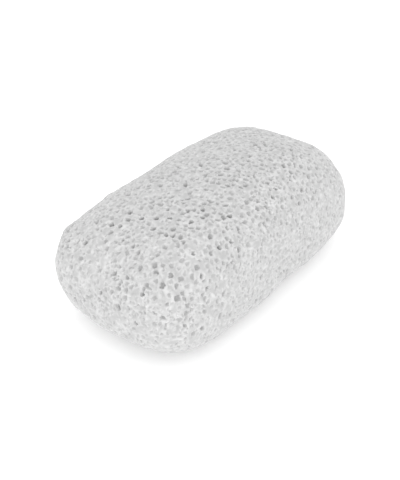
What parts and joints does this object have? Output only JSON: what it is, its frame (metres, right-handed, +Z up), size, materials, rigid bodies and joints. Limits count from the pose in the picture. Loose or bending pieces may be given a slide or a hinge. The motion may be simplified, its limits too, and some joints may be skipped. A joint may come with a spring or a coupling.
{
  "type": "pumice stone",
  "caption": "Light grey pumice stone, a rounded and slightly tapered block whose skin is pitted all over by small open gas cells, resting on its worn flat underside.",
  "frame": {"origin": "on the surface that the stone rests on, under the middle of its bounding box", "axes": "+X along the stone's length towards its squarer end, +Y across its width, +Z up through its crown"},
  "size_m": [0.1003, 0.0584, 0.0426],
  "materials": {
    "pumice": "dry, matt, frothy volcanic glass with open pores"
  },
  "bodies": {
    "root": {"pumice_stone": "pumice"}
  },
  "joints": []
}
